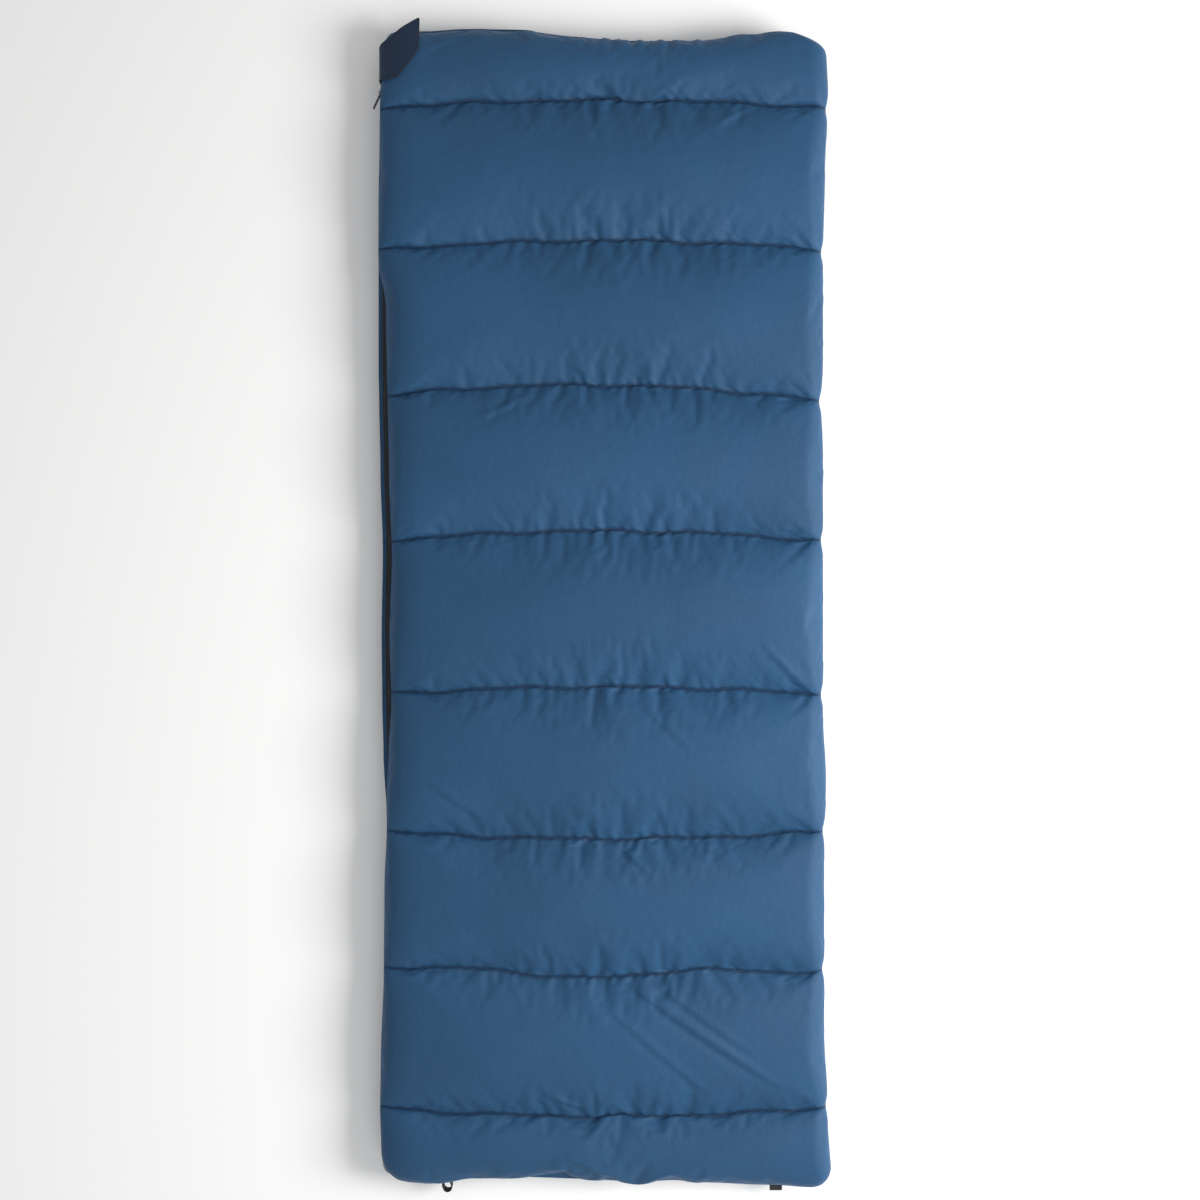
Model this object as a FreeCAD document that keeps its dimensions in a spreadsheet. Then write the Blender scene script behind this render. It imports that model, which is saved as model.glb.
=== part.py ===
"""Rectangular quilted sleeping bag, lying shut on the floor.

X runs across the bag (zip side at -X, folded side at +X), Y runs along it (head at +Y, foot at -Y)
and Z is up. The origin is the middle of the underside, on the floor. Lengths are millimetres.

The bag is two scalloped quilts, one on the other, joined by a half round fold strip down the +X side
and by a zip that runs down the -X side and along the foot. Each quilt is a shell, a filling and a
liner. The upper quilt is the mirror image of the lower one about the height of the zip.
"""

import FreeCAD
import Part
import Sketcher
import math
import os

doc = FreeCAD.newDocument("sleeping_bag")

# ---- Driving dimensions --------------------------------------------------------------------------

sheet = doc.addObject("Spreadsheet::Sheet", "Sizes")

DRIVING = {
    "bag_width": 740,  # outside, zip side to fold
    "bag_length": 1900,  # outside, head to foot
    "quilt_loft": 38,  # one quilt, at the top of a channel
    "seam_loft": 12,  # one quilt, where a seam pinches it
    "crest_flat": 3,  # how much of each channel's crown is pressed flat
    "sleeping_gap": 10,  # between the two liners
    "cloth": 0.8,  # shell and liner
    "head_band": 120,  # head edge to the first seam
    "foot_band": 116,  # foot edge to the last seam
    "head_corner": 25,  # plan radius at both head corners
    "foot_corner": 45,  # plan radius at both foot corners
    "rim_run": 80,  # how far in from the zip side the quilt slopes
    "facing_width": 48,  # hem band inside the mouth
    "facing_end_gap": 4,  # between the hem band's ends and the zip tape or the fold
    "facing_set_back": 2,  # head edge to the hem band
    "zip_recess": 10,  # zip tapes stand this far inside the outline
    "tape_thickness": 1,
    "tape_allowance": 16,  # the part of the tape sewn on to the liner
    "chain_slit": 1.4,  # between the two rows of teeth, where the slider's post runs
    "chain_height": 2.3,  # one row of teeth
    "chain_depth": 2,  # how far the teeth stand out from the tape
    "zip_head_end": 50,  # head edge to the top stops
    "zip_foot_end": 70,  # fold side to the box at the foot
    "stop_length": 4,
    "box_length": 8,
    "slider_length": 15,
    "slider_width": 9,
    "slider_plate": 1.6,
    "slider_clearance": 0.6,
    "inner_wing_set_back": 1,  # the inner wing is this much narrower on each side
    "bridge_bar": 1.4,  # the two bars that carry the pull's bridge
    "bridge_roof": 1.2,
    "bridge_width": 2.6,
    "slider_from_head": 104,  # head edge to the side slider, zip shut
    "slider_from_fold": 100,  # fold side to the foot slider, zip shut
    "pull_length": 27,
    "pull_width": 8,
    "pull_thickness": 1.4,
    "pull_leg_gap": 1,  # between the bridge and each of the pull's legs
    "pull_plate_gap": 2,  # between the bridge and the pull's plate
    "pull_rest_angle": 25,  # how far the side pull stands out
    "thread": 1.2,
    "thread_clearance": 0.02,  # between the thread and the steeper side of its groove
    "flap_length": 56,  # along the zip
    "flap_from_head": 60,  # head edge to the middle of the guard flap
    "flap_thickness": 1.4,
    "flap_patch": 0.8,  # hook patch and loop patch, each
    "flap_lip": 1,  # zip-side edge of the quilt to the flap's lower edge
    "patch_margin": 2,  # the hook patch's edge to the flap's
    "patch_set_back": 1,  # the patches' upper edge to the liner
    "flap_hinge_in": 20,  # zip side to the flap's stitch line
    "flap_base_width": 28,  # from the stitch line inwards
    "webbing": 1.2,
    "webbing_width": 20,
    "stub_margin": 1,  # the foot seam's edges to a sewn-in stub
    "loop_reach": 20,  # how far a loop stands out from the foot
    "side_loop_eye": 13,  # across the eye of the loop that stands on edge
    "flat_loop_eye": 4.6,  # across the eye of the loop that lies flat
    "side_loop_from_middle": 257,
    "flat_loop_from_middle": 289,
    "side_loop_turn": 20,  # how far the loop that stands on edge leans over
    "part_clearance": 0.3,  # between pieces that move past each other
}
CHANNELS = 7
OVERSHOOT = 2  # how far a cutting solid reaches past what it cuts

for row, (alias, value) in enumerate(DRIVING.items(), start=1):
    sheet.set(f"A{row}", alias)
    sheet.set(f"B{row}", str(value))
    sheet.setAlias(f"B{row}", alias)
doc.recompute()


class Size:
    """A length that knows its value and the sheet expression that it comes from."""

    def __init__(self, value, text):
        self.value = float(value)
        self.text = text

    def __add__(self, other):
        other = as_size(other)
        return Size(self.value + other.value, f"({self.text} + {other.text})")

    def __sub__(self, other):
        other = as_size(other)
        return Size(self.value - other.value, f"({self.text} - {other.text})")

    def __mul__(self, other):
        other = as_size(other)
        return Size(self.value * other.value, f"({self.text} * {other.text})")

    def __truediv__(self, other):
        other = as_size(other)
        return Size(self.value / other.value, f"({self.text} / {other.text})")

    def __neg__(self):
        return Size(-self.value, f"(0 - {self.text})")

    def root(self):
        return Size(math.sqrt(self.value), f"sqrt({self.text})")


def as_size(number):
    """A plain number as a Size; a Size as it is."""
    return number if isinstance(number, Size) else Size(number, repr(number))


def cell(alias):
    """The Size that the sheet holds under this alias."""
    return Size(sheet.get(alias), f"Sizes.{alias}")


def bind(item, **values):
    """Bind properties to Sizes; two underscores in a name stand for a dot."""
    for name, value in values.items():
        path = name.replace("__", ".")
        if "." not in path:
            setattr(item, path, as_size(value).value)
        item.setExpression(path, as_size(value).text)


def place(item, x=0, y=0, z=0):
    """Bind where an object stands."""
    bind(item, Placement__Base__x=x, Placement__Base__y=y, Placement__Base__z=z)


# ---- Lines and levels that the pieces share ------------------------------------------------------

half_width = cell("bag_width") / 2
half_length = cell("bag_length") / 2
quilt_loft = cell("quilt_loft")
cloth = cell("cloth")
clearance = cell("part_clearance")
zip_level = quilt_loft + cell("sleeping_gap") / 2
bag_height = zip_level * 2
fold_line = half_width - zip_level
pinch = quilt_loft - cell("seam_loft")
seam_pitch = (cell("bag_length") - cell("head_band") - cell("foot_band")) / CHANNELS
tape_line = half_width - cell("zip_recess")

seam_lines = [half_length - cell("head_band") - seam_pitch * n for n in range(CHANNELS + 1)]

# ---- Makers --------------------------------------------------------------------------------------

FLAT = FreeCAD.Rotation()
ACROSS = FreeCAD.Rotation(FreeCAD.Vector(1, 0, 0), 90)  # sketch x, y along X, Z
ALONG = FreeCAD.Rotation(FreeCAD.Vector(1, 1, 1), 120)  # sketch x, y along Y, Z


def pin(sketch, edge, end, point, kinds=("DistanceX", "DistanceY")):
    """Fix one end of a sketch edge, or its centre, at a pair of Sizes."""
    for kind, value in zip(("DistanceX", "DistanceY"), point):
        if kind in kinds:
            index = sketch.addConstraint(Sketcher.Constraint(kind, -1, 1, edge, end, value.value))
            sketch.setExpression(f"Constraints[{index}]", value.text)


def draw(sketch, points, centres):
    """A closed outline through points. centres maps an edge's number to (centre, turns_left)."""
    points = [tuple(as_size(c) for c in p) for p in points]
    places = [FreeCAD.Vector(x.value, y.value, 0) for x, y in points]
    up = FreeCAD.Vector(0, 0, 1)
    count = len(points)
    for n in range(count):
        start, finish = places[n], places[(n + 1) % count]
        if n not in centres:
            sketch.addGeometry(Part.LineSegment(start, finish), False)
            continue
        (cx, cy), turns_left = centres[n]
        centre = FreeCAD.Vector(as_size(cx).value, as_size(cy).value, 0)
        circle = Part.Circle(centre, up, (start - centre).Length)
        first, last = (start, finish) if turns_left else (finish, start)
        angles = [math.atan2(p.y - centre.y, p.x - centre.x) for p in (first, last)]
        if angles[1] < angles[0]:
            angles[1] += 2 * math.pi
        sketch.addGeometry(Part.ArcOfCircle(circle, angles[0], angles[1]), False)
        wide = abs(finish.x - start.x) >= abs(finish.y - start.y)
        pin(sketch, n, 3, (as_size(cx), as_size(cy)), ("DistanceY",) if wide else ("DistanceX",))
    ends = [(2, 1) if n in centres and not centres[n][1] else (1, 2) for n in range(count)]
    for n in range(count):
        after = (n + 1) % count
        sketch.addConstraint(Sketcher.Constraint("Coincident", n, ends[n][1], after, ends[after][0]))
        pin(sketch, n, ends[n][0], points[n])


def prism(name, turn, points, centres, length, middle=False, z=0, y=0):
    """A closed outline drawn on a turned plane and extruded."""
    sketch = doc.addObject("Sketcher::SketchObject", name + "_outline")
    sketch.Placement = FreeCAD.Placement(FreeCAD.Vector(), turn)
    draw(sketch, points, centres)
    place(sketch, y=y, z=z)
    solid = doc.addObject("Part::Extrusion", name)
    solid.Base = sketch
    solid.DirMode = "Normal"
    solid.Solid = True
    solid.Symmetric = middle
    bind(solid, LengthFwd=length)
    return solid


def box(name, low, high):
    """A box between two corners given as Sizes."""
    solid = doc.addObject("Part::Box", name)
    low = [as_size(v) for v in low]
    high = [as_size(v) for v in high]
    bind(solid, Length=high[0] - low[0], Width=high[1] - low[1], Height=high[2] - low[2])
    place(solid, *low)
    return solid


def rod(name, radius, length, turn, at):
    """A cylinder whose axis is Z turned by turn, starting at a point."""
    solid = doc.addObject("Part::Cylinder", name)
    solid.Placement = FreeCAD.Placement(FreeCAD.Vector(), turn)
    bind(solid, Radius=radius, Height=length)
    place(solid, *at)
    return solid


def both(name, first, second):
    """What two solids share."""
    solid = doc.addObject("Part::Common", name)
    solid.Base, solid.Tool = first, second
    return solid


def without(name, first, second):
    """The first solid with the second cut away."""
    solid = doc.addObject("Part::Cut", name)
    solid.Base, solid.Tool = first, second
    return solid


def joined(name, pieces):
    """Solids fused into one."""
    solid = doc.addObject("Part::MultiFuse", name)
    solid.Shapes = pieces
    return solid


def group(name, pieces):
    """Separate solids that are one sub-part."""
    solid = doc.addObject("Part::Compound", name)
    solid.Links = pieces
    return solid


def mirrored(name, source):
    """A copy on the other side of the zip's level."""
    solid = doc.addObject("Part::Mirroring", name)
    solid.Source = source
    solid.Normal = FreeCAD.Vector(0, 0, 1)
    bind(solid, Base__z=zip_level)
    return solid


def turned_copy(name, source, angle, x, y, z):
    """A piece made about the origin, turned about Z and set in its place."""
    solid = doc.addObject("Part::Compound", name)
    solid.Links = [source]
    solid.Placement = FreeCAD.Placement(FreeCAD.Vector(), FreeCAD.Rotation(FreeCAD.Vector(0, 0, 1), 0))
    bind(solid, Placement__Rotation__Angle=angle)
    place(solid, x, y, z)
    return solid


subparts = []


def subpart(label, item):
    """Give a finished piece the label that names its file."""
    item.Label = label
    subparts.append(item)
    return item


# ---- The bag's outer form, and the same form one cloth thickness smaller -------------------------


def plan(name, inset):
    """The outline seen from above, as high as the bag: a rectangle with rounded corners."""
    x, y = half_width - inset, half_length - inset
    head, foot = cell("head_corner") - inset, cell("foot_corner") - inset
    points = [
        (foot - x, -y),
        (x - foot, -y),
        (x, foot - y),
        (x, y - head),
        (x - head, y),
        (head - x, y),
        (-x, y - head),
        (-x, foot - y),
    ]
    centres = {
        1: ((x - foot, foot - y), True),
        3: ((x - head, y - head), True),
        5: ((head - x, y - head), True),
        7: ((foot - x, foot - y), True),
    }
    return prism(name, FLAT, points, centres, bag_height)


def crown(first, last, level, sag, side):
    """The centre of the arc that bridges two equal points and rises by sag on one side of level."""
    chord = last - first
    radius = (chord * chord / 4 + sag * sag) / (sag * 2)
    drop = (sag - radius) * side
    return (first + last) / 2, level + drop


def profile(name, inset):
    """The outline seen from the side: a pillow over each channel, above and below.

    Each crown reaches past the bag's height, so that the plan's flat ends press it flat.
    """
    ends = [-half_length + inset, *reversed(seam_lines), half_length - inset]
    low, high = pinch + inset, bag_height - pinch - inset
    full_sag = pinch + cell("crest_flat")
    points = [(y, low) for y in ends] + [(y, high) for y in reversed(ends)]
    centres = {}
    for n in range(len(ends) - 1):
        centres[n] = (crown(ends[n], ends[n + 1], low, full_sag, -1), True)
        other = 2 * len(ends) - 2 - n
        centres[other] = (crown(ends[n], ends[n + 1], high, full_sag, 1), True)
    return prism(name, ALONG, points, centres, cell("bag_width") + OVERSHOOT, middle=True)


rim_radius = (cell("rim_run") * cell("rim_run") + pinch * pinch) / (pinch * 2)


def quilt_section(name, inset):
    """The lower quilt cut across: flat on top, and sloping up to a thin edge at the zip side."""
    edge, toe = inset - half_width, cell("rim_run") - half_width
    points = [
        (edge, pinch + inset),
        (toe, inset),
        (fold_line - clearance / 2, inset),
        (fold_line - clearance / 2, quilt_loft),
        (edge, quilt_loft),
    ]
    # The slope is one arc at every inset, moved in from the zip side and up by the inset.
    reach = toe - edge
    radius = (reach * reach + pinch * pinch) / (pinch * 2)
    centres = {0: ((toe, inset + radius), True)}
    return prism(name, ACROSS, points, centres, cell("bag_length") + OVERSHOOT, middle=True)


def fold_section(name, radius):
    """Half a disc about the fold line, on its outer side."""
    points = [(fold_line, zip_level - radius), (fold_line, zip_level + radius)]
    centres = {0: ((fold_line, zip_level), True)}
    return prism(name, ACROSS, points, centres, cell("bag_length") + OVERSHOOT, middle=True)


outer_form = both("outer_form", plan("outer_plan", as_size(0)), profile("outer_profile", as_size(0)))
inner_form = both("inner_form", plan("inner_plan", cloth), profile("inner_profile", cloth))

# ---- The two quilts: shell, filling and liner ----------------------------------------------------

lower_body = both("lower_body", outer_form, quilt_section("lower_section", as_size(0)))
lower_core = both("lower_core", inner_form, quilt_section("lower_core_section", cloth))
lower_shell = subpart("lower_shell", without("lower_tub", lower_body, lower_core))
liner_slab = box(
    "liner_slab",
    (-half_width, -half_length, quilt_loft - cloth),
    (half_width, half_length, quilt_loft + OVERSHOOT),
)
lower_liner = subpart("lower_liner", both("lower_lining", lower_core, liner_slab))
lower_fill = subpart("lower_fill", without("lower_batting", lower_core, liner_slab))
for word, piece in (("shell", lower_shell), ("liner", lower_liner), ("fill", lower_fill)):
    subpart("upper_" + word, mirrored("upper_" + word + "_mirror", piece))

# ---- The fold strip, which bends when the bag is opened ------------------------------------------

liner_turn = cell("sleeping_gap") / 2
fold_outer = both("fold_outer", outer_form, fold_section("fold_disc", zip_level))
fold_inner = both("fold_inner", inner_form, fold_section("fold_core_disc", zip_level - cloth))
fold_bore = fold_section("fold_bore", liner_turn)
fold_lining = both("fold_lining", inner_form, fold_section("fold_lining_disc", liner_turn + cloth))
subpart("fold_shell", without("fold_skin", fold_outer, fold_inner))
fold_liner = subpart("fold_liner", without("fold_lining_tube", fold_lining, fold_bore))
subpart("fold_fill", without("fold_batting", fold_inner, joined("fold_hollow", [fold_lining, fold_bore])))

# ---- Hem facings inside the mouth ----------------------------------------------------------------

lower_facing = box(
    "lower_facing_strip",
    (
        -tape_line + cell("tape_allowance") + cell("facing_end_gap"),
        half_length - cell("facing_width"),
        quilt_loft,
    ),
    (fold_line - cell("facing_end_gap"), half_length - cell("facing_set_back"), quilt_loft + cloth),
)
subpart("lower_head_facing", lower_facing)
subpart("upper_head_facing", mirrored("upper_facing_mirror", lower_facing))

# ---- Quilting stitches, one run of thread in the groove of each seam -----------------------------

thread_radius = cell("thread") / 2


def groove_depth(chord):
    """How far a thread's middle lies below the seam, clear of the slope of a crown on this chord.

    The slope's angle has a tangent of half of it equal to twice the sag over the chord.
    """
    half_tangent = (pinch + cell("crest_flat")) * 2 / chord
    square = half_tangent * half_tangent
    return thread_radius * (square + 1) / (-square + 1) + cell("thread_clearance")


EASTWARD = FreeCAD.Rotation(FreeCAD.Vector(0, 1, 0), 90)
thread_start = cell("rim_run") - half_width
chords = [cell("head_band"), *[seam_pitch] * (CHANNELS - 1), cell("foot_band")]
threads = []
for n, (seam, chord) in enumerate(zip(seam_lines, chords), start=1):
    threads.append(
        rod(
            f"thread_{n}",
            thread_radius,
            fold_line - thread_start,
            EASTWARD,
            (thread_start, seam, pinch - groove_depth(chord)),
        )
    )
lower_stitching = subpart("lower_stitching", group("lower_threads", threads))
subpart("upper_stitching", mirrored("upper_threads", lower_stitching))

# ---- The zip: tapes and rows of teeth down the side, round the corner and along the foot ---------


def zip_band(name, near, far, head_end, low, high):
    """An L-shaped band between two distances out from the tape line, from the head to the foot."""
    x, y = tape_line, half_length - cell("zip_recess")
    bend = cell("foot_corner") - cell("zip_recess")
    foot_end = half_width - cell("zip_foot_end")
    points = [
        (-x - far, head_end),
        (-x - far, bend - y),
        (bend - x, -y - far),
        (foot_end, -y - far),
        (foot_end, -y - near),
        (bend - x, -y - near),
        (-x - near, bend - y),
        (-x - near, head_end),
    ]
    centre = (bend - x, bend - y)
    return prism(name, FLAT, points, {1: (centre, True), 5: (centre, False)}, high - low, z=low)


chain_end = half_length - cell("zip_head_end")
tape_end = chain_end + cell("stop_length") * 2
chain_top = zip_level - cell("chain_slit") / 2
chain_low = chain_top - cell("chain_height")
tape_out = cell("tape_thickness")
chain_out = tape_out + cell("chain_depth")

standing = zip_band("tape_standing", as_size(0), tape_out, tape_end, quilt_loft, chain_top)
flat_tape = zip_band(
    "tape_allowance_band",
    -cell("tape_allowance"),
    as_size(0),
    tape_end,
    quilt_loft,
    quilt_loft + cell("tape_thickness") / 2,
)
lower_tape = subpart("lower_zip_tape", joined("lower_tape", [standing, flat_tape]))
lower_chain = zip_band("lower_chain", tape_out, chain_out, chain_end, chain_low, chain_top)
subpart("lower_zip_chain", lower_chain)
subpart("upper_zip_tape", mirrored("upper_tape", lower_tape))
subpart("upper_zip_chain", mirrored("upper_chain", lower_chain))

lower_stop = box(
    "lower_stop",
    (-tape_line - chain_out - clearance, chain_end, chain_low),
    (-tape_line - tape_out, chain_end + cell("stop_length"), chain_top),
)
subpart("lower_top_stop", lower_stop)
subpart("upper_top_stop", mirrored("upper_stop", lower_stop))

box_start = half_width - cell("zip_foot_end")
foot_line = half_length - cell("zip_recess")
lower_box = box(
    "foot_box",
    (box_start, -foot_line - chain_out - clearance, chain_low - clearance),
    (box_start + cell("box_length"), -foot_line, zip_level - clearance),
)
subpart("zip_box", lower_box)
subpart("zip_pin", mirrored("foot_pin", lower_box))

# ---- Sliders and their pulls, made about a point on the tape line at the zip's level -------------

gap = cell("slider_clearance")
plate = cell("slider_plate")
half_slider = cell("slider_length") / 2
half_wing = cell("slider_width") / 2
inner_half_wing = half_wing - cell("inner_wing_set_back")
wing_in = chain_out + gap
wing_out = wing_in + plate
post_half = cell("chain_slit") / 2 - clearance
flange = cell("slider_plate") / 2
saddle = half_slider * 2 / 3
pin_radius = cell("pull_thickness") / 2
pin_out = wing_out + pin_radius + clearance
bridge_in = pin_out + pin_radius + clearance
bridge_half = cell("bridge_width") / 2
bridge_out = bridge_in + cell("bridge_roof")
bar = cell("bridge_bar")


def flange_box(name, low, high):
    """A wing's edge bent in over the teeth, between two heights."""
    return box(name, (-wing_in, -half_slider, low), (-tape_out - gap, half_slider, high))


slider_pieces = [
    box("outer_wing", (-wing_out, -half_slider, -half_wing), (-wing_in, half_slider, half_wing)),
    box("inner_wing", (gap, -half_slider, -inner_half_wing), (gap + plate, half_slider, inner_half_wing)),
    box("post", (-wing_in, saddle / 2, -post_half), (gap, saddle, post_half)),
    flange_box("flange_low", -half_wing, flange - half_wing),
    flange_box("flange_high", half_wing - flange, half_wing),
    box("bridge_foot", (-bridge_in, -saddle, -bridge_half), (-wing_out, bar - saddle, bridge_half)),
    box("bridge_head", (-bridge_in, saddle - bar, -bridge_half), (-wing_out, saddle, bridge_half)),
    box("bridge_top", (-bridge_out, -saddle, -bridge_half), (-bridge_in, saddle, bridge_half)),
]
slider_form = joined("slider_form", slider_pieces)

half_pull = cell("pull_width") / 2
leg_in = bridge_half + cell("pull_leg_gap")
plate_start = saddle + cell("pull_plate_gap")
pull_end = cell("pull_length")
pull_pieces = [
    rod("pull_pin", pin_radius, cell("pull_width"), FLAT, (0, 0, -half_pull)),
    box("leg_low", (-pin_radius, -plate_start, -half_pull), (pin_radius, 0, -leg_in)),
    box("leg_high", (-pin_radius, -plate_start, leg_in), (pin_radius, 0, half_pull)),
    box("pull_plate", (-pin_radius, -pull_end, -half_pull), (pin_radius, -plate_start, half_pull)),
]
pull_form = joined("pull_form", pull_pieces)

side_slider_y = half_length - cell("slider_from_head")
foot_slider_x = half_width - cell("slider_from_fold")
subpart(
    "side_slider",
    turned_copy("side_slider_piece", slider_form, 0, -tape_line, side_slider_y, zip_level),
)
subpart(
    "foot_slider",
    turned_copy("foot_slider_piece", slider_form, 90, foot_slider_x, -foot_line, zip_level),
)
subpart(
    "side_pull",
    turned_copy(
        "side_pull_piece",
        pull_form,
        -cell("pull_rest_angle"),
        -tape_line - pin_out,
        side_slider_y,
        zip_level,
    ),
)
subpart(
    "foot_pull",
    turned_copy("foot_pull_piece", pull_form, 90, foot_slider_x, -foot_line - pin_out, zip_level),
)

# ---- Guard flap at the head end of the zip, sewn to the upper quilt ------------------------------

flap_middle = half_length - cell("flap_from_head")
flap_half = cell("flap_length") / 2
patch = cell("flap_patch")
flap_in = half_width + patch * 2 + clearance
flap_out = flap_in + cell("flap_thickness")
hinge_x = cell("flap_hinge_in") - half_width
slope_x = cell("rim_run") - half_width
slope_z = bag_height - rim_radius
flap_gap = rim_radius + clearance
flap_top = flap_gap + cell("flap_thickness")
flap_low = pinch + cell("flap_lip")
flap_length = cell("flap_length")


def on_slope(x, radius):
    """The height over x of an arc about the centre of the upper quilt's zip-side slope."""
    run = x - slope_x
    return slope_z + (radius * radius - run * run).root()


tab_points = [
    (hinge_x, on_slope(hinge_x, flap_top)),
    (-flap_out, on_slope(-flap_out, flap_top)),
    (-flap_out, flap_low),
    (-flap_in, flap_low),
    (-flap_in, on_slope(-flap_in, flap_gap)),
    (hinge_x, on_slope(hinge_x, flap_gap)),
]
slope_centre = (slope_x, slope_z)
tab_arcs = {0: (slope_centre, True), 4: (slope_centre, False)}
flap_tab = prism("flap_sheet", ACROSS, tab_points, tab_arcs, flap_length, middle=True, y=flap_middle)
subpart("flap_tab", flap_tab)

base_start = hinge_x + clearance
base_end = hinge_x + cell("flap_base_width")
base_points = [
    (base_end, on_slope(base_end, flap_top)),
    (base_start, on_slope(base_start, flap_top)),
    (base_start, on_slope(base_start, rim_radius)),
    (base_end, on_slope(base_end, rim_radius)),
]
base_arcs = {0: (slope_centre, True), 2: (slope_centre, False)}
flap_base = prism("flap_root", ACROSS, base_points, base_arcs, flap_length, middle=True, y=flap_middle)
subpart("flap_base", flap_base)

margin = cell("patch_margin")
patch_low, patch_high = pinch + margin, quilt_loft - cell("patch_set_back")
subpart(
    "hook_patch",
    box(
        "hook_square",
        (-flap_in, flap_middle - flap_half + margin, patch_low),
        (patch - flap_in, flap_middle + flap_half - margin, patch_high),
    ),
)
subpart(
    "loop_patch",
    box(
        "loop_square",
        (-half_width - patch, flap_middle - flap_half, patch_low),
        (-half_width, flap_middle + flap_half, patch_high),
    ),
)

# ---- Webbing loops at the foot, and the stubs that are sewn into the foot seam -------------------

webbing = cell("webbing")
strap_half = cell("webbing_width") / 2
strap_level = (pinch + quilt_loft) / 2


def ring(name, turn, eye, reach, width):
    """A closed strap: two strands and two half-round ends, extruded by the strap's width."""
    outer, inner = eye / 2 + webbing, eye / 2
    far = -(reach - outer * 2)
    solids = []
    for word, radius in (("outside", outer), ("eye", inner)):
        if turn is ALONG:
            points = [(far, -radius), (0, -radius), (0, radius), (far, radius)]
            centres = {1: ((0, 0), True), 3: ((far, 0), True)}
        else:
            points = [(radius, far), (radius, 0), (-radius, 0), (-radius, far)]
            centres = {1: ((0, 0), True), 3: ((0, far), True)}
        solids.append(prism(f"{name}_{word}", turn, points, centres, width, middle=True))
    return without(name + "_strap", *solids)


anchor_out = half_length + webbing
side_root = anchor_out + clearance + cell("side_loop_eye") / 2 + webbing
flat_root = anchor_out + clearance + cell("flat_loop_eye") / 2 + webbing
side_ring = ring("side_ring", FLAT, cell("side_loop_eye"), cell("loop_reach"), cell("webbing_width"))
flat_ring = ring("flat_ring", ALONG, cell("flat_loop_eye"), cell("loop_reach"), cell("webbing_width"))
loop_turn = cell("side_loop_turn")
stub_margin = cell("stub_margin")
side_x, flat_x = -cell("side_loop_from_middle"), cell("flat_loop_from_middle")
subpart("left_loop", turned_copy("left_loop_piece", side_ring, loop_turn, side_x, -side_root, strap_level))
subpart("right_loop", turned_copy("right_loop_piece", flat_ring, 0, flat_x, -flat_root, strap_level))
for word, middle in (("left", side_x), ("right", flat_x)):
    subpart(
        word + "_loop_stub",
        box(
            word + "_stub",
            (middle - strap_half, -anchor_out, pinch + stub_margin),
            (middle + strap_half, -half_length, quilt_loft - stub_margin),
        ),
    )

# ---- Check everything, then write one file for each sub-part -------------------------------------

doc.recompute()

for item in doc.Objects:
    if "Invalid" in item.State or "Error" in item.State:
        raise RuntimeError(f"{item.Name} could not be made: {item.State}")

os.makedirs("parts", exist_ok=True)
for item in subparts:
    shape = item.Shape
    if shape.isNull() or not shape.isValid() or not shape.Solids:
        raise RuntimeError(f"{item.Label} is not a valid solid")
    shape.exportStep(f"parts/{item.Label}.step")
    print(f"{item.Label}: {len(shape.Solids)} solids, {shape.Volume / 1000:.2f} cm3")
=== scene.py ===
"""Rectangular quilted sleeping bag, shut and lying on the floor, seen from straight above.

Each section makes one piece of the bag, or one group of like pieces. Lengths are metres in the frame of
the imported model: X runs from the zip side to the fold, Y from foot to head, Z up from the floor.
"""

import bpy
import numpy as np
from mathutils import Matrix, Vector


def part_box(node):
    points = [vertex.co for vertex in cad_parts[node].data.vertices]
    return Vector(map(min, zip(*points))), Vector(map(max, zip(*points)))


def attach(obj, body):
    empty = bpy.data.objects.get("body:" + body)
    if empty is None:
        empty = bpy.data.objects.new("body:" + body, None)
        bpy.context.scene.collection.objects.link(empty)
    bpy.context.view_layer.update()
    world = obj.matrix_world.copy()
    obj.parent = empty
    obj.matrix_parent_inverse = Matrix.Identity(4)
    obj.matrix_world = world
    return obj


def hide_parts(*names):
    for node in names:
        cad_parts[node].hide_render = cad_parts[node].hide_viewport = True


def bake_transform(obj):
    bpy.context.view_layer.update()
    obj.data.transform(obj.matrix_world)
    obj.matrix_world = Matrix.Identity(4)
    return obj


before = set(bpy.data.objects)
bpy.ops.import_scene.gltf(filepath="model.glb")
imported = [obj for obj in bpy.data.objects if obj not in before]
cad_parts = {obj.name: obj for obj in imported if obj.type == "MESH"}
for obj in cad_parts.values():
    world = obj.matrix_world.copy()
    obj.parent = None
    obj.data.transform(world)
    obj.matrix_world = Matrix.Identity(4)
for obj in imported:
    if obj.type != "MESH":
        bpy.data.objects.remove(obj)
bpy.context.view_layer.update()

# ---- Camera, floor and light ---------------------------------------------------------------------
# A camera 2.65 m above the bag looks straight down, with the head of the bag at the top. The floor is
# plain and pale. A broad soft light stands on the fold side and a weaker one over the foot.

CAMERA_HEIGHT = 2.65
VIEW_WIDTH = 1.98  # at the height of the bag's edges
EDGE_HEIGHT = 0.05

camera_data = bpy.data.cameras.new("overhead_camera")
camera_data.sensor_width = 36.0
camera_data.lens = 36.0 * (CAMERA_HEIGHT - EDGE_HEIGHT) / VIEW_WIDTH
camera_data.clip_start = 0.05
camera_data.clip_end = 50.0
camera = bpy.data.objects.new("overhead_camera", camera_data)
camera.location = (-0.003, 0.009, CAMERA_HEIGHT)
bpy.context.collection.objects.link(camera)
bpy.context.scene.camera = camera
bpy.context.scene.view_settings.view_transform = "Standard"


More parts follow.
